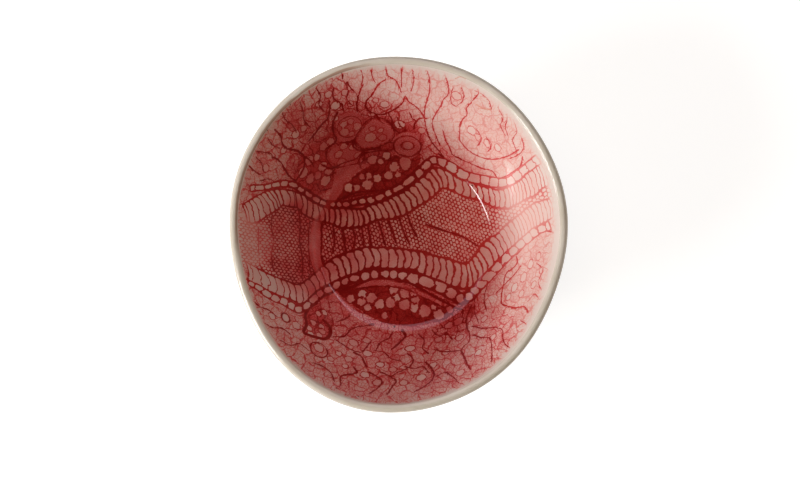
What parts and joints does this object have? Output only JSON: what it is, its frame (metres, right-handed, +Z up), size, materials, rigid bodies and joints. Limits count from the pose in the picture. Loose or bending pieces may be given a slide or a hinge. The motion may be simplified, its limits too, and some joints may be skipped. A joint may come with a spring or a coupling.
{
  "type": "ramekin",
  "caption": "Flared, hand-pressed stoneware ramekin with a glazed red lace-imprinted inside, a plain rounded lip and a bare clay foot ring.",
  "frame": {"origin": "on the table, under the middle of the outer box", "axes": "+Z up out of the mouth, +Y along the longer way across the mouth"},
  "size_m": [0.1214, 0.1284, 0.0586],
  "materials": {
    "stoneware": "bare fired clay, matte, with fine grog and iron specks",
    "red_lace_glaze": "glossy clear glaze over a red stain rubbed into a lace imprint, pale towards the lip",
    "clear_glaze": "glossy clear glaze over pale clay with a few iron specks"
  },
  "bodies": {
    "root": {"stoneware_body": "stoneware", "foot_ring": "stoneware", "lace_glaze_lining": "red_lace_glaze", "clear_glaze_coat": "clear_glaze"}
  },
  "joints": []
}
